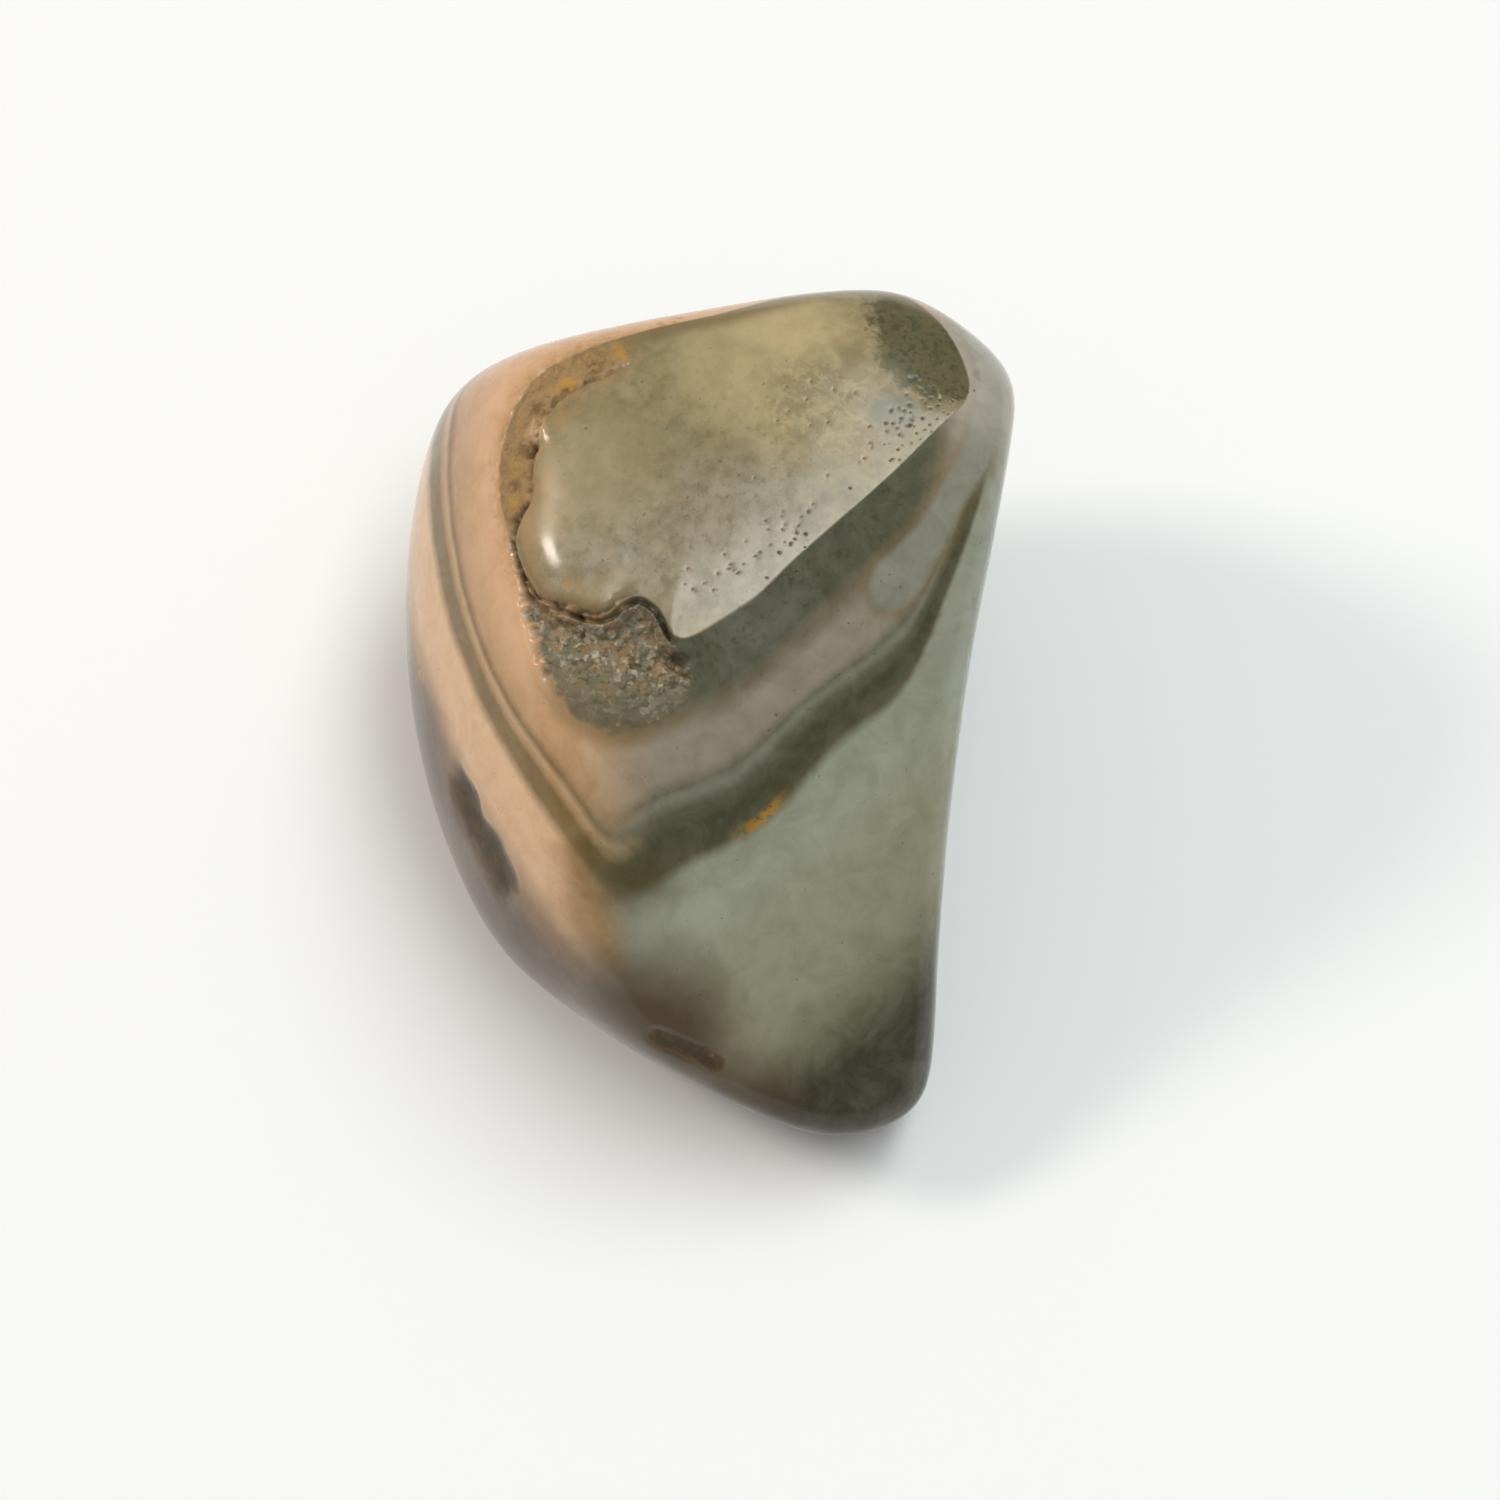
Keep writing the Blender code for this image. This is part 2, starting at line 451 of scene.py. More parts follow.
def nearForms(places, near):     # near a lip, fold, pocket or rough pit
    edge = insideRim(places, crown["rim"], crown["lowest"])
    lip = (leftShare(places) > near["left"]) & (edge > near["lip"][0]) & (edge < near["lip"][1])
    u, v = flatPlaces(places)
    start, end = splitting["foldSpan"]
    fold = (abs(edge) < near["fold"]) & (u > start) & (v < end)
    druse = insideRim(places, pocket["rim"]) > -near["druse"]
    return lip | fold | druse | roughNear(places, near["roughPits"])


def nearPits(places, margin):
    u, v = flatPlaces(places)
    close = np.zeros(len(u), bool)
    top = places @ np.array(outward) > splitting["pitHeight"]
    for a, b, size in pitPlaces():
        close |= (np.hypot(u - a, v - b) < size + margin) & top
    return close


def nearDetail(places):
    return nearForms(places, splitting["once"])


def nearFine(places):
    near = splitting["twice"]
    return nearForms(places, near) | nearPits(places, near["pits"])


def nearGrains(places):
    near = splitting["again"]
    edge = insideRim(places, crown["rim"], crown["lowest"])
    crack = (leftShare(places) > near["left"]) & (abs(edge - marginWidth(places)) < near["crack"])
    druse = insideRim(places, pocket["rim"]) > -near["druse"]
    return druse | crack | nearPits(places, near["pits"])


def cells(u, v, size, seed):     # gap to the nearest grain's centre, and that grain's own number
    draw = np.random.default_rng(seed)
    low, high = (u.min() - size, v.min() - size), (u.max() + size, v.max() + size)
    count = int((high[0] - low[0]) * (high[1] - low[1]) / size ** 2)
    spots = draw.uniform(low, high, (count, 2))
    own = draw.uniform(0, 1, count)
    nearest, number = np.full(len(u), 9.0), np.zeros(len(u))
    for (a, b), mark in zip(spots, own):
        gap = np.hypot(u - a, v - b)
        closer = gap < nearest
        number = np.where(closer, mark, number)
        nearest = np.where(closer, gap, nearest)
    return nearest, number


def roughness(places, scale, seed):      # slow 3-D noise, one value for each place
    shift = Vector((seed * 7.3, seed * 3.1, seed * 5.7))
    return np.array([noise.noise(Vector(place) / scale + shift) for place in places])


def roundSwell(u, v, a, b, size):      # 1 at a place, fading out over its size
    return np.exp(-((u - a) ** 2 + (v - b) ** 2) / size ** 2)


def crownForms(places, front, masks):    # lip, crumbly margin, crack and fold round the crown
    u, v = flatPlaces(places)
    edge = insideRim(places, crown["rim"], crown["lowest"])
    left = leftShare(places)
    near = (left > 0) & (abs(edge) < crown["crumbReach"])
    crumbs = np.zeros(len(places))
    coarse, fine = crown["crumbWidths"]
    crumbs[near] = roughness(places[near], coarse, 3)
    crumbs[near] += crown["fineCrumbs"] * roughness(places[near], fine, 4)

    wide = marginWidth(places)
    inner = edge - wide + crown["crumbShift"] * crumbs
    calm = 1 - smooth(edge - wide, *crown["calmEdge"])
    turn = np.clip((edge - wide + crown["crumbShift"] * crumbs * calm) / crown["lipWidth"], 0, 1)
    roll = np.sqrt(1 - (1 - turn) ** 2) * (1 - smooth(inner, crown["lipFlat"], crown["lipReach"]))
    lipShare = crown["lipLow"] + (1 - crown["lipLow"]) * smooth(-v, *crown["lipFade"])
    lipShare *= left * smooth(-v, *crown["lipEnd"])
    lipShare *= 1 + crown["lipWave"] * roughness(places, crown["lipWaveWidth"], 8)
    lift = crown["lipHeight"] * roll * lipShare

    outer = smooth(edge + crown["marginFray"] * crumbs, *crown["marginEdge"])
    margin = outer * (1 - smooth(inner, *crown["marginEdge"])) * left
    lift -= margin * crown["marginDrop"] * (1 + crown["marginRough"] * crumbs)
    crack = np.exp(-(inner / crown["crackWidth"]) ** 2) * left
    crack *= (crown["crackMean"] + crown["crackRough"] * crumbs).clip(crown["crackLeast"], 1)
    lift -= crack * crown["crackDepth"]
    for a, b, size, height in crown["crumbs"]:
        lift += height * roundSwell(u, v, a, b, size) * front

    fold = smooth(u, *crown["creaseStart"]) * smooth(-v, *crown["creaseEnd"]) * front
    side = np.where(edge > 0, edge / crown["creaseInside"], -edge / crown["creaseOutside"])
    lift += fold * crown["creaseHeight"] * np.exp(-side)
    masks.update(edge=edge.clip(-3, 3), inner=inner.clip(-3, 3), side=left, margin=margin, crack=crack)
    return lift, edge


def pocketForms(places, edge, front, masks):     # the sunken druse under the crown's ledge
    u, v = flatPlaces(places)
    rim = insideRim(places, pocket["rim"])
    fray = np.zeros(len(u))
    close = rim > -pocket["frayReach"]
    fray[close] = roughness(places[close], pocket["frayWidth"], 7)
    under = np.clip(-edge, 0, None)
    ledge = 1 - smooth(under, 0.0, pocket["ledgeWidth"])
    softRim = rim + pocket["fray"] * fray * (1 - ledge)
    inside = smooth(softRim, 0.0, pocket["wall"] + pocket["softWall"] * (1 - ledge))
    inside *= smooth(rim, *pocket["wallStart"])

    depth = pocket["ledgeDepth"] * (1 - smooth(under, *pocket["reach"]))
    leftWall = (1 - smooth(u, *pocket["leftWall"])) * smooth(v, *pocket["leftWallLow"])
    depth *= 1 - pocket["leftShallow"] * leftWall
    depth = np.maximum(depth, leftWall * pocket["leftDepth"])
    steep = np.maximum(ledge, leftWall * pocket["leftSteep"])
    depth *= np.maximum(smooth(rim, 0.0, pocket["slope"]), steep)
    depth += pocket["crevice"] * (1 - smooth(under, *pocket["creviceWidth"]))

    grain = rim > -pocket["grainMargin"]
    pebbly = np.zeros(len(u))
    for size, height, width, least, seed in pocket["grains"]:
        nearest, number = cells(u[grain], v[grain], size, seed)
        dome = (1 - (nearest / width) ** 2).clip(pocket["grainDip"], 1)
        pebbly[grain] += height * dome * (least + number)
    worn = smooth(v + pocket["wornSlant"] * u, *pocket["wornSpan"])
    pebbly *= pocket["wornLeast"] + (1 - pocket["wornLeast"]) * worn

    a, b, size, deep = pocket["hole"]
    gap = np.hypot((u - a) * pocket["holeSquash"], v - b)
    hole = (1 - smooth(gap, size * pocket["holeFloor"], size)) * front
    lift = inside * (pebbly - depth) - hole * deep
    rolled = np.exp(-((rim + pocket["rimRollOut"]) / pocket["rimRollWidth"]) ** 2)
    rolled *= smooth(-u, *pocket["rimRollLeft"]) * smooth(-v, *pocket["rimRollHigh"])
    rolled *= smooth(v, *pocket["rimRollLow"])
    lift += pocket["rimRoll"] * rolled
    masks.update(pocket=inside, den=rim.clip(-2, 2), shade=inside * depth)
    masks["height"] = (pebbly / pocket["fullHeight"]).clip(-1, 1)
    return lift, inside, hole


def pinholes(places, front, inside):
    u, v = flatPlaces(places)
    start, end = pits["edge"]
    dips = np.zeros(len(u))
    for a, b, size in pitPlaces():
        dip = 1 - smooth(np.hypot(u - a, v - b), size * start, size * end)
        dips = np.maximum(dips, dip * front)
    return dips * (1 - inside)


def roughForms(places, masks):       # the two natural pits
    lift, worst = np.zeros(len(places)), np.zeros(len(places))
    for start, end, size, deep in roughPits["lines"]:
        gap = gapToLine(places, start, end)
        close = gap < size * roughPits["limit"]
        wobble = np.zeros(len(places))
        wobble[close] = roughness(places[close], roughPits["coarseWave"], 5)
        wobble[close] += roughPits["fineShare"] * roughness(places[close], roughPits["fineWave"], 6)
        wavy = gap + roughPits["sway"] * size * wobble
        hollow = 1 - smooth(wavy, size * roughPits["wallStart"], size * roughPits["wallEnd"])
        lift -= hollow * deep * (roughPits["evenDepth"] + roughPits["waveDepth"] * wobble)
        worst = np.maximum(worst, hollow)
    masks["rough"] = worst
    return lift


def carve(mesh):             # sink and raise all the fine forms; keep masks for the finish
    places = readPlaces(mesh)
    _, out = skin(places)
    front = smooth(places @ np.array(outward), *stone["front"])
    masks = {}
    lift = stone["swell"] * roughness(places, stone["swellWidth"], 1)
    lift += stone["ripple"] * roughness(places, stone["rippleWidth"], 2)
    crownLift, edge = crownForms(places, front, masks)
    pocketLift, inside, hole = pocketForms(places, edge, front, masks)
    dips = pinholes(places, front, inside)
    lift += crownLift + pocketLift + roughForms(places, masks) - pits["depth"] * dips
    masks["pit"] = np.maximum(dips, hole)
    masks["depth"], masks["flank"] = growthDepth(places)
    masks["lobe"] = insideRim(places, lobe["rim"], lobe["lowest"]).clip(-3, 3)
    writePlaces(mesh, places + out * lift[:, None])
    for name in maskNames:
        layer = mesh.verts.layers.float.new(name)
        for vert, value in zip(mesh.verts, masks[name]):
            vert[layer] = float(value)


def restSpot(mesh):          # the small flat spot under the stone
    everything = mesh.verts[:] + mesh.edges[:] + mesh.faces[:]
    floorLevel = (0, 0, -stone["heartHeight"])
    cut = bmesh.ops.bisect_plane(mesh, geom=everything, plane_co=floorLevel,
                                 plane_no=(0, 0, -1), clear_outer=True)
    rim = [item for item in cut["geom_cut"] if isinstance(item, bmesh.types.BMEdge)]
    for face in bmesh.ops.holes_fill(mesh, edges=rim, sides=0)["faces"]:
        face.smooth = False


def makeStone():
    print("stone: worn form")
    form = evenStone()
    for wanted in (nearDetail, nearFine, nearGrains):
        refine(form, wanted)
    print("stone: fine forms on", len(form.verts), "points")
    for face in form.faces:
        face.smooth = True
    carve(form)
    restSpot(form)
    places = readPlaces(form)
    low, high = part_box("chalcedony_pebble")
    middle = (places.min(axis=0) + places.max(axis=0)) / 2
    heart = Vector(((low[0] + high[0]) / 2 / mm - middle[0],
                    (low[1] + high[1]) / 2 / mm - middle[1], stone["heartHeight"]))
    writePlaces(form, (places + np.array(heart)) * mm)
    mesh = bpy.data.meshes.new("tumbledChalcedony")
    form.to_mesh(mesh)
    form.free()
    piece = addObject("tumbledChalcedony", mesh)
    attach(piece, "root")
    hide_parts("chalcedony_pebble")
    return piece, heart


class Wire:      # one value or colour in a material's node tree
    def __init__(self, tree, socket=None):
        self.tree, self.socket = tree, socket

    def make(self, kind, settings, plugs, output=0):
        node = self.tree.nodes.new(kind)
        for name, value in settings.items():
            if name == "stops":
                elements = node.color_ramp.elements
                for spot, _ in value[2:]:
                    elements.new(spot)
                for element, (spot, colour) in zip(elements, value):
                    element.position, element.color = spot, (*colour, 1)
            else:
                setattr(node, name, value)
        for name, value in plugs.items():
            if isinstance(value, Wire):
                self.tree.links.new(value.socket, node.inputs[name])
            else:
                node.inputs[name].default_value = value
        return Wire(self.tree, node.outputs[output])

    def work(self, operation, first, second, third=0.0):
        return self.make("ShaderNodeMath", {"operation": operation}, {0: first, 1: second, 2: third})

    def __add__(self, other):
        return self.work("ADD", self, other)

    def __radd__(self, other):
        return self.work("ADD", other, self)

    def __sub__(self, other):
        return self.work("SUBTRACT", self, other)

    def __rsub__(self, other):
        return self.work("SUBTRACT", other, self)

    def __mul__(self, other):
        return self.work("MULTIPLY", self, other)

    def __rmul__(self, other):
        return self.work("MULTIPLY", other, self)

    def vector(self, operation, other, output=0):
        return self.make("ShaderNodeVectorMath", {"operation": operation}, {0: self, 1: other}, output)

    def gapTo(self, place):
        return self.vector("DISTANCE", place, 1)

    def greater(self, other, soft):
        return self.work("SMOOTH_MAX", self, other, soft)

    def step(self, low, high):       # 0 at low, 1 at high, smooth between; low may be the larger
        return self.make("ShaderNodeMapRange", {"interpolation_type": "SMOOTHSTEP"},
                         {0: self, 1: low, 2: high, 3: 0.0, 4: 1.0})

    def ramp(self, stops):           # colours along the values, from the first stop to the last
        low, high = stops[0][0], stops[-1][0]
        placed = [((spot - low) / (high - low), colour) for spot, colour in stops]
        scaled = self.make("ShaderNodeMapRange", {}, {0: self, 1: low, 2: high, 3: 0.0, 4: 1.0})
        return self.make("ShaderNodeValToRGB", {"stops": placed}, {"Fac": scaled})

    def feed(self, shader, name):
        self.tree.links.new(self.socket, shader.inputs[name])


def blend(share, first, second, mode="MIX"):      # colours
    settings = {"data_type": "RGBA", "blend_type": mode}
    return share.make("ShaderNodeMix", settings, {0: share, 6: rgba(first), 7: rgba(second)}, 2)


def rgba(colour):
    return colour if isinstance(colour, Wire) else (*colour, 1)


def cloud(place, scale, detail, rough, twist, seed, output="Fac"):
    return place.make("ShaderNodeTexNoise", {"noise_dimensions": "4D"},
                      {"Vector": place, "W": seed, "Scale": scale, "Detail": detail,
                       "Roughness": rough, "Distortion": twist}, output)


def grains(place, scale, output):
    return place.make("ShaderNodeTexVoronoi", {}, {"Vector": place, "Scale": scale}, output)


# The finish of the stone. A coat of colour is its colour, its share, and what it follows:
# a field by itself, or a field or a place (across, along, outward) with the value or
# distance where the coat starts and the one where it is full. Coats lie in this order.
nearCrown = ("layerDepth", 1.25, 0.7)
hiddenSide = [("rise", -0.8, -4.0), ("layerDepth", 2.9, 3.5)]
finish = {
    "tones": {
        "olive": (0.235, 0.19, 0.09),
        "oliveLight": (0.36, 0.29, 0.175),
        "oliveYellow": (0.42, 0.335, 0.18),
        "oliveGrey": (0.255, 0.23, 0.145),
        "oliveDark": (0.12, 0.098, 0.045),
        "darkPatch": (0.085, 0.078, 0.032),
        "patchGreen": (0.05, 0.052, 0.026),
        "patchBrown": (0.15, 0.12, 0.05),
        "bluePatch": (0.12, 0.125, 0.10),
        "lilac": (0.36, 0.32, 0.26),
        "amber": (0.36, 0.23, 0.10),
        "brown": (0.21, 0.15, 0.065),
        "sand": (0.56, 0.42, 0.23),
        "crownEdge": (0.17, 0.12, 0.05),
        "bandBlue": (0.19, 0.19, 0.15),
        "bandBrown": (0.115, 0.092, 0.042),
        "bandDark": (0.045, 0.043, 0.022),
        "ridgeStain": (0.32, 0.18, 0.07),
        "amberFleck": (0.45, 0.22, 0.02),
        "lilacBand": (0.23, 0.225, 0.18),
        "lilacPale": (0.48, 0.435, 0.385),
        "marginBrown": (0.32, 0.19, 0.07),
        "pitEdge": (0.10, 0.062, 0.022),
        # dark pinholes in the stone's own colour; over the deep hole in the pocket the same darkening
        # is painted shade
        "pitDark": (0.05, 0.035, 0.02),
        # painted shade in the crack under the crown's rolled lip
        "crackDark": (0.045, 0.025, 0.01),
        "stripeDark": (0.62, 0.55, 0.46),
        "stripeLight": (0.13, 0.10, 0.065),
        "veilLight": (0.16, 0.15, 0.12),
        "veilDark": (0.62, 0.58, 0.50),
        "dot": (0.06, 0.045, 0.02),
        # mauve of the lower layers, made very dark as painted shade where the stone turns under
        "mauve": (0.06, 0.032, 0.012),
        "vertex": (0.075, 0.055, 0.015),
        "denRim": (0.20, 0.125, 0.05),
        "druseGreen": (0.13, 0.125, 0.08),
        "druseRust": (0.27, 0.15, 0.055),
        "druseSpark": (0.45, 0.42, 0.34),
        "druseGap": (0.05, 0.035, 0.018),
        # painted shade in the gaps between the pocket's grains
        "druseHollow": (0.06, 0.045, 0.02),
        "druseWorn": (0.085, 0.078, 0.04),
        # painted shade in the deepest part of the pocket, under the ledge
        "druseDeep": (0.035, 0.022, 0.01),
        "crumb": (0.56, 0.38, 0.22),
        "rust": (0.42, 0.22, 0.035),
        "darkRust": (0.13, 0.065, 0.015),
    },
    # tones that darken or lighten what lies under them
    "modes": {"stripeDark": "MULTIPLY", "stripeLight": "SCREEN",
              "veilDark": "MULTIPLY", "veilLight": "SCREEN"},
    # scale, detail, roughness, twist and seed of each noise
    "noises": {
        "broad": (0.35, 3, 0.5, 0.0, 0.0),
        "fine": (1.5, 4, 0.65, 0.0, 0.0),
        "specks": (3.4, 3, 0.6, 0.0, 12.0),
        "veil": (0.55, 5, 0.68, 1.2, 13.0),
        "patchy": (0.42, 5, 0.62, 0.6, 3.0),
        "greying": (0.7, 4, 0.6, 0.4, 9.0),
        "mottle": (2.6, 5, 0.75, 0.0, 4.0),
        "dim": (1.1, 4, 0.65, 0.0, 11.0),
        "warm": (1.2, 4, 0.7, 0.5, 14.0),
        "drusy": (1.5, 3, 0.6, 0.0, 5.0),
        "rusty": (3.4, 5, 0.8, 0.0, 6.0),
        "stained": (1.8, 4, 0.7, 0.0, 7.0),
        "polish": (0.9, 3, 0.6, 0.0, 8.0),
        "relief": (7.0, 4, 0.65, 0.0, 9.0),
    },
    "sway": (1.6, (0.5, 3, 0.5, 0.0, 1.0)),      # how far places sway, and by what noise
    "stripes": {"Scale": 1.9, "Detail": 4.0, "Roughness": 0.65},
    "druseSize": 4.2,           # grains to a millimetre, and the same for the dots
    "dotSize": 2.4,
    "darkCorner": (9.3, 14.6, 3.4),
    # fields made uneven: the field, a noise, and how much of it
    "uneven": {
        "swayedDepth": ("depth", "broad", 0.14),
        "layerDepth": ("swayedDepth", "fine", 0.07),
        "layerFlank": ("flank", "fine", 0.5),
        "bandEdge": ("lobe", "fine", 0.16),
        "crownLine": ("edge", "fine", 0.05),
        "brownLine": ("edge", "specks", 1.4),
        "roughLine": ("rough", "fine", 0.7),
        "shadowed": ("dim", "broad", 0.3),
        "ragged": ("darkCorner", "fine", 2.4),
    },
    # colours along a field
    "ramps": {
        "slopeLayers": ("layerDepth", [
            (-1.0, (0.11, 0.11, 0.07)), (0.3, (0.082, 0.082, 0.05)), (0.95, (0.08, 0.08, 0.046)),
            (1.2, (0.17, 0.14, 0.085)), (1.45, (0.29, 0.25, 0.19)), (1.9, (0.27, 0.228, 0.168)),
            (2.05, (0.14, 0.13, 0.085)), (2.15, (0.20, 0.19, 0.14)), (2.28, (0.10, 0.10, 0.06)),
            (2.5, (0.055, 0.055, 0.024)), (2.72, (0.065, 0.062, 0.028)),
            (2.88, (0.085, 0.075, 0.035)), (3.08, (0.29, 0.30, 0.225)), (3.8, (0.315, 0.33, 0.245)),
            # from 6.9 on, the tip: the layers' own dark green, made darker still as painted shade
            (4.9, (0.28, 0.275, 0.18)), (6.1, (0.25, 0.24, 0.155)), (6.9, (0.13, 0.125, 0.07)),
            (7.5, (0.035, 0.034, 0.017)), (9.0, (0.05, 0.045, 0.025))]),
        "cheekLayers": ("layerDepth", [
            (-1.0, (0.47, 0.29, 0.16)), (0.35, (0.60, 0.36, 0.20)), (1.3, (0.62, 0.37, 0.20)),
            (2.05, (0.46, 0.27, 0.13)), (2.20, (0.20, 0.12, 0.045)), (2.32, (0.50, 0.32, 0.16)),
            (2.42, (0.38, 0.23, 0.11)), (2.52, (0.19, 0.115, 0.03)), (2.82, (0.20, 0.12, 0.035)),
            # from 4.65 to 7.0, the lower left: mauve-brown layers, made darker still as painted shade
            # where the stone turns under
            (3.05, (0.68, 0.44, 0.25)), (4.0, (0.66, 0.42, 0.24)), (4.65, (0.25, 0.14, 0.06)),
            (5.2, (0.12, 0.07, 0.035)), (7.0, (0.09, 0.055, 0.03)), (8.0, (0.30, 0.19, 0.11)),
            (9.0, (0.42, 0.27, 0.16))]),
        "druseGrains": ("grainTint", [
            (0.0, (0.08, 0.065, 0.03)), (0.3, (0.15, 0.125, 0.075)), (0.55, (0.20, 0.17, 0.11)),
            (0.72, (0.24, 0.14, 0.06)), (0.88, (0.29, 0.245, 0.17)), (1.0, (0.42, 0.37, 0.28))]),
        "rustGrains": ("rusty", [
            (0.3, (0.10, 0.055, 0.018)), (0.42, (0.19, 0.115, 0.042)), (0.50, (0.29, 0.175, 0.075)),
            (0.57, (0.36, 0.21, 0.085)), (0.64, (0.42, 0.20, 0.03)), (0.72, (0.46, 0.30, 0.16))]),
        "roughStain": ("stained", [
            (0.3, (0.014, 0.008, 0.002)), (0.5, (0.045, 0.027, 0.006)), (0.62, (0.085, 0.05, 0.012)),
            (0.68, (0.16, 0.09, 0.015)), (0.72, (0.50, 0.30, 0.04))]),
    },
    "slopeCoats": [
        ("bandBlue", 0.3, ((2.2, 3.2, 6.9), 3.3, 0.7), nearCrown),
        ("bandBrown", 0.55, ("fine", 0.5, 0.66), nearCrown),
        ("bandDark", 0.55, ("specks", 0.48, 0.34), nearCrown),
        ("crownEdge", 0.5, ("bandEdge", -0.55, -0.05)),
        ("lilacBand", 0.95, ("bandEdge", -0.12, 0.22)),
        ("lilacPale", 0.58, ((11.2, 12.8, 3.0), 4.8, 1.6)),
    ],
    "layerCoats": [             # over the slope and the cheek alike
        ("ridgeStain", 0.85, ("layerFlank", -1.0, -0.2), ("layerFlank", 1.1, 0.0),
         ("layerDepth", 2.7, 3.1), ("layerDepth", 4.6, 3.9)),
        ("stripeDark", 0.5, *hiddenSide, ("stripes", 0.46, 0.6)),
        ("stripeLight", 0.45, *hiddenSide, ("stripes", 0.46, 0.34)),
        ("veilLight", 0.28, ("veil", 0.35, 0.75)),
        ("veilDark", 0.35, ("veil", 0.6, 0.25)),
        # mauve layer colour darkened as painted shade on the lower edges, where the stone turns under
        ("mauve", 0.9, ((-2.6, -12.2, 3.6), 5.4, 1.6)),
        ("mauve", 0.9, ((-8.0, -9.8, -1.4), 4.7, 1.7)),
        ("mauve", 0.7, ((-11.6, -0.8, -2.2), 4.8, 1.2)),
        ("mauve", 0.7, ((1.6, -15.6, 1.6), 3.6, 1.2)),
        ("vertex", 0.7, ((-2.8, -5.9, 6.1), 2.9, 0.5), ("layerDepth", 2.3, 3.0)),
    ],
    # small spots that specks break up: their colour, place and size
    "flecks": {
        "share": 0.85, "soft": 0.6, "specks": ("specks", 0.42, 0.56),
        "spots": [("amberFleck", (-11.0, 1.9, -0.7), 0.5), ("amberFleck", (-11.0, 2.5, -0.9), 0.4),
                  ("amberFleck", (-9.55, 7.8, 2.0), 0.22), ("amberFleck", (-9.4, 7.1, 2.4), 0.12),
                  ("amberFleck", (-1.6, 14.75, 3.4), 0.42), ("amberFleck", (-1.0, 14.9, 3.3), 0.3)],
    },
    "rustSpots": {
        "share": 0.9, "soft": 0.7, "specks": ("specks", 0.36, 0.52),
        "spots": [("crumb", (-6.05, 10.75, 4.95), 0.42), ("darkRust", (-6.45, 9.95, 4.9), 0.36),
                  ("rust", (-6.75, 10.9, 4.5), 0.22), ("rust", (-7.1, 7.9, 5.2), 0.34),
                  ("darkRust", (-7.15, 8.6, 5.0), 0.3), ("rust", (-7.0, 9.3, 4.9), 0.3),
                  ("darkRust", (-6.2, 11.6, 4.4), 0.3), ("rust", (-5.2, 12.4, 4.5), 0.35),
                  ("darkRust", (-4.3, 13.0, 4.4), 0.35), ("rust", (-3.2, 13.5, 4.3), 0.35)],
    },
    "denCoats": [               # the amber streak and the brown skin round the pocket
        ("amberFleck", 0.8, ((1.9, -3.4, 5.2), 1.8, 0.2), ("layerDepth", 2.74, 2.86),
         ("layerDepth", 3.06, 2.94), ("specks", 0.35, 0.5)),
        ("denRim", 0.65, ("den", -0.7, 0.05), ((-4.2, -0.6, 7.0), 4.2, 1.4)),
    ],
    "crownCoats": [
        ("oliveLight", 1.0, ("patchy", 0.34, 0.66)),
        ("oliveDark", 0.4, ((-0.6, 9.8, 6.2), 4.7, 1.1)),
        ("oliveGrey", 0.7, ("greying", 0.35, 0.75)),
        ("oliveDark", 0.6, ("mottle", 0.50, 0.85)),
        ("oliveYellow", 0.75, ((3.6, 12.8, 5.0), 5.4, 2.2)),
        ("lilac", 0.6, ((-3.2, 5.8, 7.3), 4.4, 1.2)),
        ("lilac", 0.6, ((1.5, 6.6, 7.0), 4.6, 1.4)),
        ("amber", 0.75, ((-6.2, 7.5, 6.0), 2.2, 0.8)),
        ("oliveDark", 0.3, ((-5.0, 11.9, 4.8), 2.2, 0.4)),
        # the crown's own dark blotches, laid out by noise
        ("oliveDark", 0.6, ("shadowed", 0.33, 0.70)),
        ("amber", 0.35, ("specks", 0.52, 0.72)),
        ("oliveDark", 0.4, ("specks", 0.46, 0.30)),
        ("oliveLight", 0.5, ((-4.2, 9.0, 6.2), 4.2, 0.6)),
        ("oliveYellow", 0.5, ((1.5, 13.6, 4.6), 4.4, 0.8)),
        ("brown", 0.75, ((5.0, 11.6, 5.1), 3.6, 1.4), ("warm", 0.44, 0.56)),
        ("sand", 0.38, ((3.6, 15.0, 3.8), 3.0, 0.8)),
        ("amber", 0.7, ("inner", -0.2, 0.4), ("inner", 1.6, 0.5), "side", ("fine", 0.35, 0.62)),
        ("darkPatch", 0.85, ("ragged", 3.35, 2.75)),
        ("patchGreen", 0.7, ("ragged", 3.35, 2.75), ("specks", 0.46, 0.62)),
        ("patchBrown", 0.6, ("ragged", 3.35, 2.75), ("fine", 0.54, 0.64)),
        ("bluePatch", 0.6, ((7.1, 11.5, 5.1), 1.4, 0.4)),
        ("crownEdge", 0.75, ("edge", 0.75, 0.25), ("flank", 1.5, 0.0)),
    ],
    "druseCoats": [
        ("druseGreen", 0.7, ("drusy", 0.42, 0.62)),
        ("druseRust", 0.6, ("fine", 0.50, 0.64)),
        ("druseSpark", 0.7, ("specks", 0.56, 0.68)),
        ("druseGap", 0.7, ("specks", 0.42, 0.30)),
        # painted shade in the gaps between the grains
        ("druseHollow", 0.45, ("height", 0.1, -0.9)),
        ("druseWorn", 0.65, ("shade", 0.4, 0.05)),
        # painted shade where the pocket is deepest, under the ledge
        ("druseDeep", 0.9, ("shade", 0.7, 1.15)),
    ],
    "druseShare": 0.95,
    "crownLine": (-0.05, 0.05),
    "deep": (2.3, 3.0),         # the cheek turns into the slope softly above this, sharply below
    "softTurn": (-1.2, 2.2),
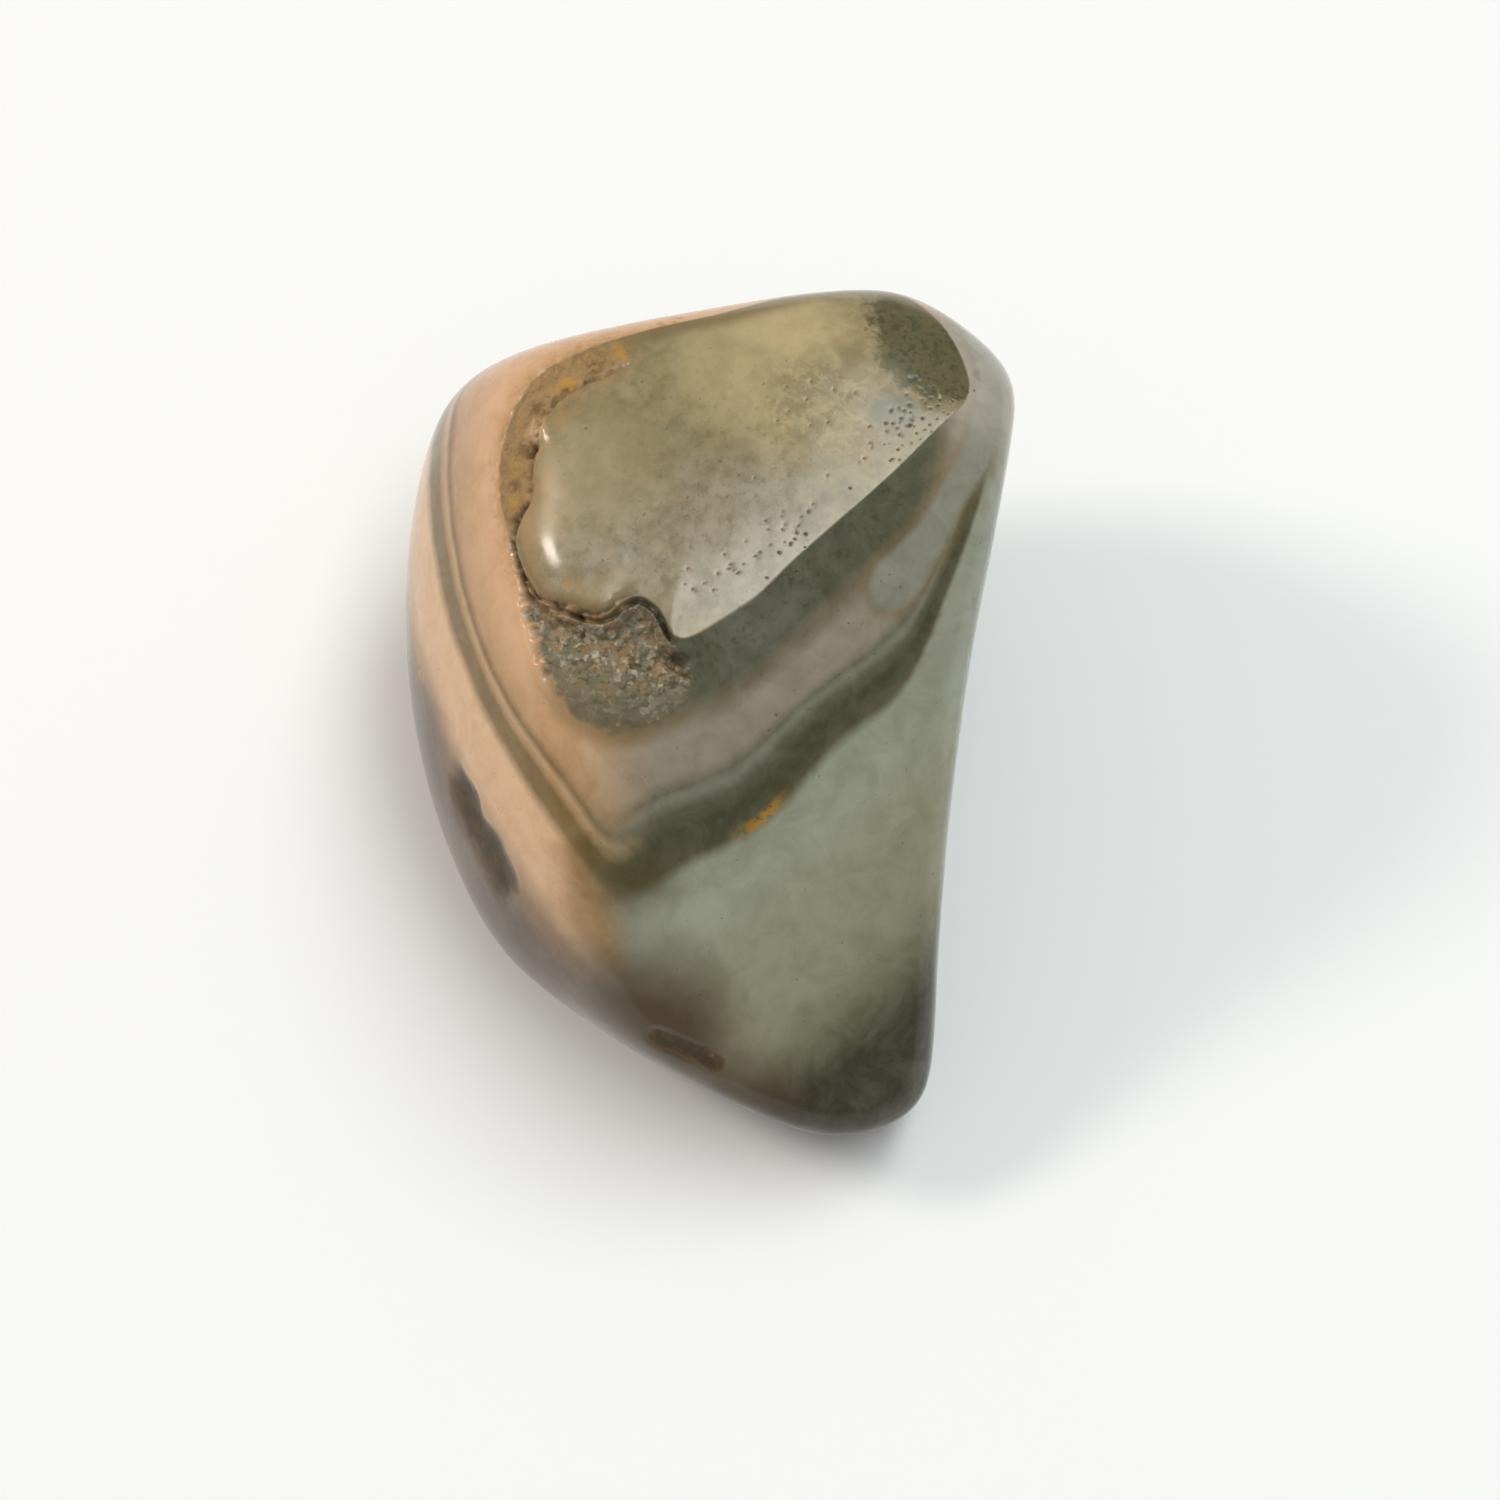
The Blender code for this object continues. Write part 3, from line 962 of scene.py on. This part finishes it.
    "sharpTurn": (-0.6, 0.5),
    "marginCoats": [
        ("marginBrown", 0.75, ("brownLine", -0.55, 0.5), ("inner", 0.5, -0.1), "side"),
        ("rustGrains", 0.85, "margin", ("specks", 0.3, 0.6)),
        # painted shade along the crack
        ("crackDark", 0.85, "crack"),
    ],
    "pitCoats": [
        # pinholes darkened in their own colour, and the pocket's deep hole darkened as painted shade
        ("pitDark", 0.9, "pit"),
        ("pitEdge", 0.75, ("rough", 0.02, 0.5)),
        ("roughStain", 0.85, ("roughLine", 0.25, 0.8)),
        ("dot", 0.6, ("dots", 0.11, 0.05), ("specks", 0.45, 0.6)),
    ],
}


def fromHeart(where):        # across, along and outward as one place
    return where[0] * across + where[1] * along + where[2] * outward


def swayedPlace(place):      # places pushed about, so that round spots come out uneven
    amount, numbers = finish["sway"]
    wave = cloud(place, *numbers, "Color").vector("SUBTRACT", (0.5, 0.5, 0.5))
    return place.vector("ADD", wave.vector("MULTIPLY", (amount, amount, amount)))


def stoneFields(tree, heart):    # every value, place and ramp that a coat can name
    start = Wire(tree)
    raw = start.make("ShaderNodeTexCoord", {}, {}, "Object")
    place = raw.make("ShaderNodeVectorMath", {"operation": "MULTIPLY_ADD"},
                     {0: raw, 1: (1 / mm, 1 / mm, 1 / mm), 2: -heart})
    fields = {name: cloud(place, *numbers) for name, numbers in finish["noises"].items()}
    for name in maskNames:
        fields[name] = start.make("ShaderNodeAttribute", {"attribute_name": name}, {}, "Fac")
    fields["swayed"] = swayedPlace(place)
    fields["darkCorner"] = fields["swayed"].gapTo(fromHeart(finish["darkCorner"]))
    fields["rise"] = place.vector("DOT_PRODUCT", outward, 1)
    fields["dots"] = grains(place, finish["dotSize"], "Distance")
    tint = grains(place, finish["druseSize"], "Color")
    fields["grainTint"] = tint.make("ShaderNodeSeparateColor", {}, {0: tint}, 0)
    for name, (field, noiseName, amount) in finish["uneven"].items():
        fields[name] = fields[field] + (fields[noiseName] - 0.5) * amount
    fields["stripes"] = start.make("ShaderNodeTexNoise", {"noise_dimensions": "1D"},
                                   {"W": fields["layerDepth"], **finish["stripes"]})
    for name, (field, stops) in finish["ramps"].items():
        fields[name] = fields[field].ramp(stops)
    return fields


def cover(fields, share, terms):     # where a coat lies, and how thickly
    for term in terms:
        if isinstance(term, str):
            share = share * fields[term]
            continue
        what, start, full = term
        value = fields[what] if isinstance(what, str) else fields["swayed"].gapTo(fromHeart(what))
        share = share * value.step(start, full)
    return share


def paint(fields, colour, coats):
    for tone, share, *terms in coats:
        second = fields[tone] if tone in fields else finish["tones"][tone]
        mode = finish["modes"].get(tone, "MIX")
        colour = blend(cover(fields, share, terms), colour, second, mode)
    return colour


def smallCoats(spots):       # one coat for each of a list of small spots
    wide, narrow = 1 + spots["soft"], 1 - spots["soft"]
    return [(tone, spots["share"], (where, size * wide, size * narrow), spots["specks"])
            for tone, where, size in spots["spots"]]


def layerColour(fields):     # the growth layers, with the slope's and the cheek's own colours
    slope = paint(fields, fields["slopeLayers"], finish["slopeCoats"])
    flank, deep = fields["layerFlank"], fields["layerDepth"].step(*finish["deep"])
    turn = flank.step(*finish["softTurn"]) * (1 - deep) + flank.step(*finish["sharpTurn"]) * deep
    colour = paint(fields, blend(turn, fields["cheekLayers"], slope), finish["layerCoats"])
    return paint(fields, colour, smallCoats(finish["flecks"]) + finish["denCoats"])


polish = {
    "gloss": 0.14,              # roughness of the polished skin
    "unevenness": 0.10,
    "roughened": 0.45,          # added in the pocket, the margin and the rough pits
    "pitted": 0.5,
    "lip": ((-6.0, 8.3, 6.2), 2.8, 1.2),
    "lipMatt": 0.2,
    "relief": 0.06,             # height of the fine relief on the skin, and in the rough parts
    "roughRelief": 1.2,
    "reliefStrength": 0.3,
    "reliefDepth": 0.00006,
    "join": 0.1,
    "lightBend": 1.45,
    "glow": 0.12,               # share of light that scatters inside
    "glowRadius": (1.0, 0.75, 0.5),
    "glowScale": 0.0005,
}


def polishSkin(fields, shader):
    rough = fields["pocket"].greater(fields["margin"], polish["join"])
    rough = rough.greater(fields["rough"], polish["join"])
    gloss = polish["gloss"] + (fields["polish"] - 0.5) * polish["unevenness"]
    gloss = gloss + rough * polish["roughened"] + fields["pit"] * polish["pitted"]
    gloss = gloss + cover(fields, polish["lipMatt"], [polish["lip"]])
    gloss.feed(shader, "Roughness")
    relief = fields["relief"] * (polish["relief"] + rough * polish["roughRelief"])
    plugs = {"Strength": polish["reliefStrength"], "Distance": polish["reliefDepth"], "Height": relief}
    relief.make("ShaderNodeBump", {}, plugs).feed(shader, "Normal")
    shader.inputs["IOR"].default_value = polish["lightBend"]
    shader.inputs["Subsurface Weight"].default_value = polish["glow"]
    shader.inputs["Subsurface Radius"].default_value = polish["glowRadius"]
    shader.inputs["Subsurface Scale"].default_value = polish["glowScale"]


def chalcedony(heart):
    material, shader = newMaterial("bandedChalcedony")
    fields = stoneFields(material.node_tree, heart)
    olive = paint(fields, finish["tones"]["olive"], finish["crownCoats"])
    colour = blend(fields["crownLine"].step(*finish["crownLine"]), layerColour(fields), olive)
    druse = paint(fields, fields["druseGrains"], finish["druseCoats"])
    colour = blend(fields["pocket"] * finish["druseShare"], colour, druse)
    colour = paint(fields, colour, finish["marginCoats"] + smallCoats(finish["rustSpots"]))
    paint(fields, colour, finish["pitCoats"]).feed(shader, "Base Color")
    polishSkin(fields, shader)
    return material


studio = {
    "floorColour": (0.90, 0.905, 0.93),
    "floorSize": 1.2,
    "floorSplits": 8,
    "floorRoughness": 0.9,
    "world": (1.0, 0.985, 0.96),
    "worldStrength": 0.36,
    "lights": {
        "warmLeft": {"place": (-0.28, 0.06, 0.26), "size": (0.08, 0.08), "power": 0.55,
                     "colour": (1.0, 0.88, 0.76)},
    },
    "cardPlace": (0.068, 0.040, 0.30),
    "cardSize": (0.40, 0.13),
    "cardTurn": 76,
    "cardColour": (0.94, 1.0, 0.96),
    "cardStrength": 6.9,
    "cardFade": 0.52,           # share of the card's width over which it fades out
    "endFade": 0.16,            # and of its length, at either end
    "cameraDistance": 0.160,
    "clipStart": 0.01,
    "lens": 100,
    "lookAt": (1.7, -1.45, 0.0),     # millimetres from the heart
}


def makeFloor():
    form = bmesh.new()
    splits = studio["floorSplits"]
    bmesh.ops.create_grid(form, x_segments=splits, y_segments=splits, size=studio["floorSize"])
    mesh = bpy.data.meshes.new("floor")
    form.to_mesh(mesh)
    form.free()
    floor = addObject("floor", mesh)
    material, shader = newMaterial("paleFloor")
    shader.inputs["Base Color"].default_value = (*studio["floorColour"], 1)
    shader.inputs["Roughness"].default_value = studio["floorRoughness"]
    mesh.materials.append(material)


def aim(thing, place, target):
    thing.location = place
    thing.rotation_euler = (Vector(target) - Vector(place)).to_track_quat("-Z", "Y").to_euler()


def makeLight(name, target, place, size, power, colour):
    lamp = bpy.data.lights.new(name, "AREA")
    lamp.shape = "RECTANGLE"
    lamp.size, lamp.size_y = size
    lamp.energy = power
    lamp.color = colour
    aim(addObject(name, lamp), place, target)


def makeCard(middle):        # a bright overhead card that fades out towards its far corner
    wide, deep = studio["cardSize"]
    corners = [(-wide / 2, -deep / 2, 0), (wide / 2, -deep / 2, 0),
               (wide / 2, deep / 2, 0), (-wide / 2, deep / 2, 0)]
    mesh = bpy.data.meshes.new("fadingCard")
    mesh.from_pydata(corners, [], [(3, 2, 1, 0)])
    card = addObject("fadingCard", mesh)
    card.location = middle + Vector(studio["cardPlace"])
    card.rotation_euler = (0, 0, radians(studio["cardTurn"]))
    material, shader = newMaterial("fadingGlow")
    spot = Wire(material.node_tree).make("ShaderNodeTexCoord", {}, {}, "Generated")
    far = spot.make("ShaderNodeSeparateXYZ", {}, {0: spot}, "Y")
    end = spot.make("ShaderNodeSeparateXYZ", {}, {0: spot}, "X")
    glow = (1 - far.step(1 - studio["cardFade"], 1.0)) * end.step(0.0, studio["endFade"])
    glow = glow * (1 - end.step(1 - studio["endFade"], 1.0))
    blend(glow, (0, 0, 0), studio["cardColour"]).feed(shader, "Emission Color")
    shader.inputs["Base Color"].default_value = (0, 0, 0, 1)
    shader.inputs["Emission Strength"].default_value = studio["cardStrength"]
    mesh.materials.append(material)
    card.visible_camera = False


def makeStudio(heart):
    scene = bpy.context.scene
    scene.view_settings.view_transform = "Standard"
    world = bpy.data.worlds.new("softRoom")
    world.use_nodes = True
    background = world.node_tree.nodes["Background"]
    background.inputs["Color"].default_value = (*studio["world"], 1)
    background.inputs["Strength"].default_value = studio["worldStrength"]
    scene.world = world
    middle = heart * mm
    for name, settings in studio["lights"].items():
        makeLight(name, middle, **settings)
    makeCard(middle)
    camera = bpy.data.cameras.new("camera")
    camera.lens = studio["lens"]
    camera.clip_start = studio["clipStart"]
    view = addObject("camera", camera)
    target = (heart + Vector(studio["lookAt"])) * mm
    aim(view, target + outward * studio["cameraDistance"], target)
    scene.camera = view


pebble, heart = makeStone()
print("stone: finish")
pebble.data.materials.append(chalcedony(heart))
print("studio")
makeFloor()
makeStudio(heart)
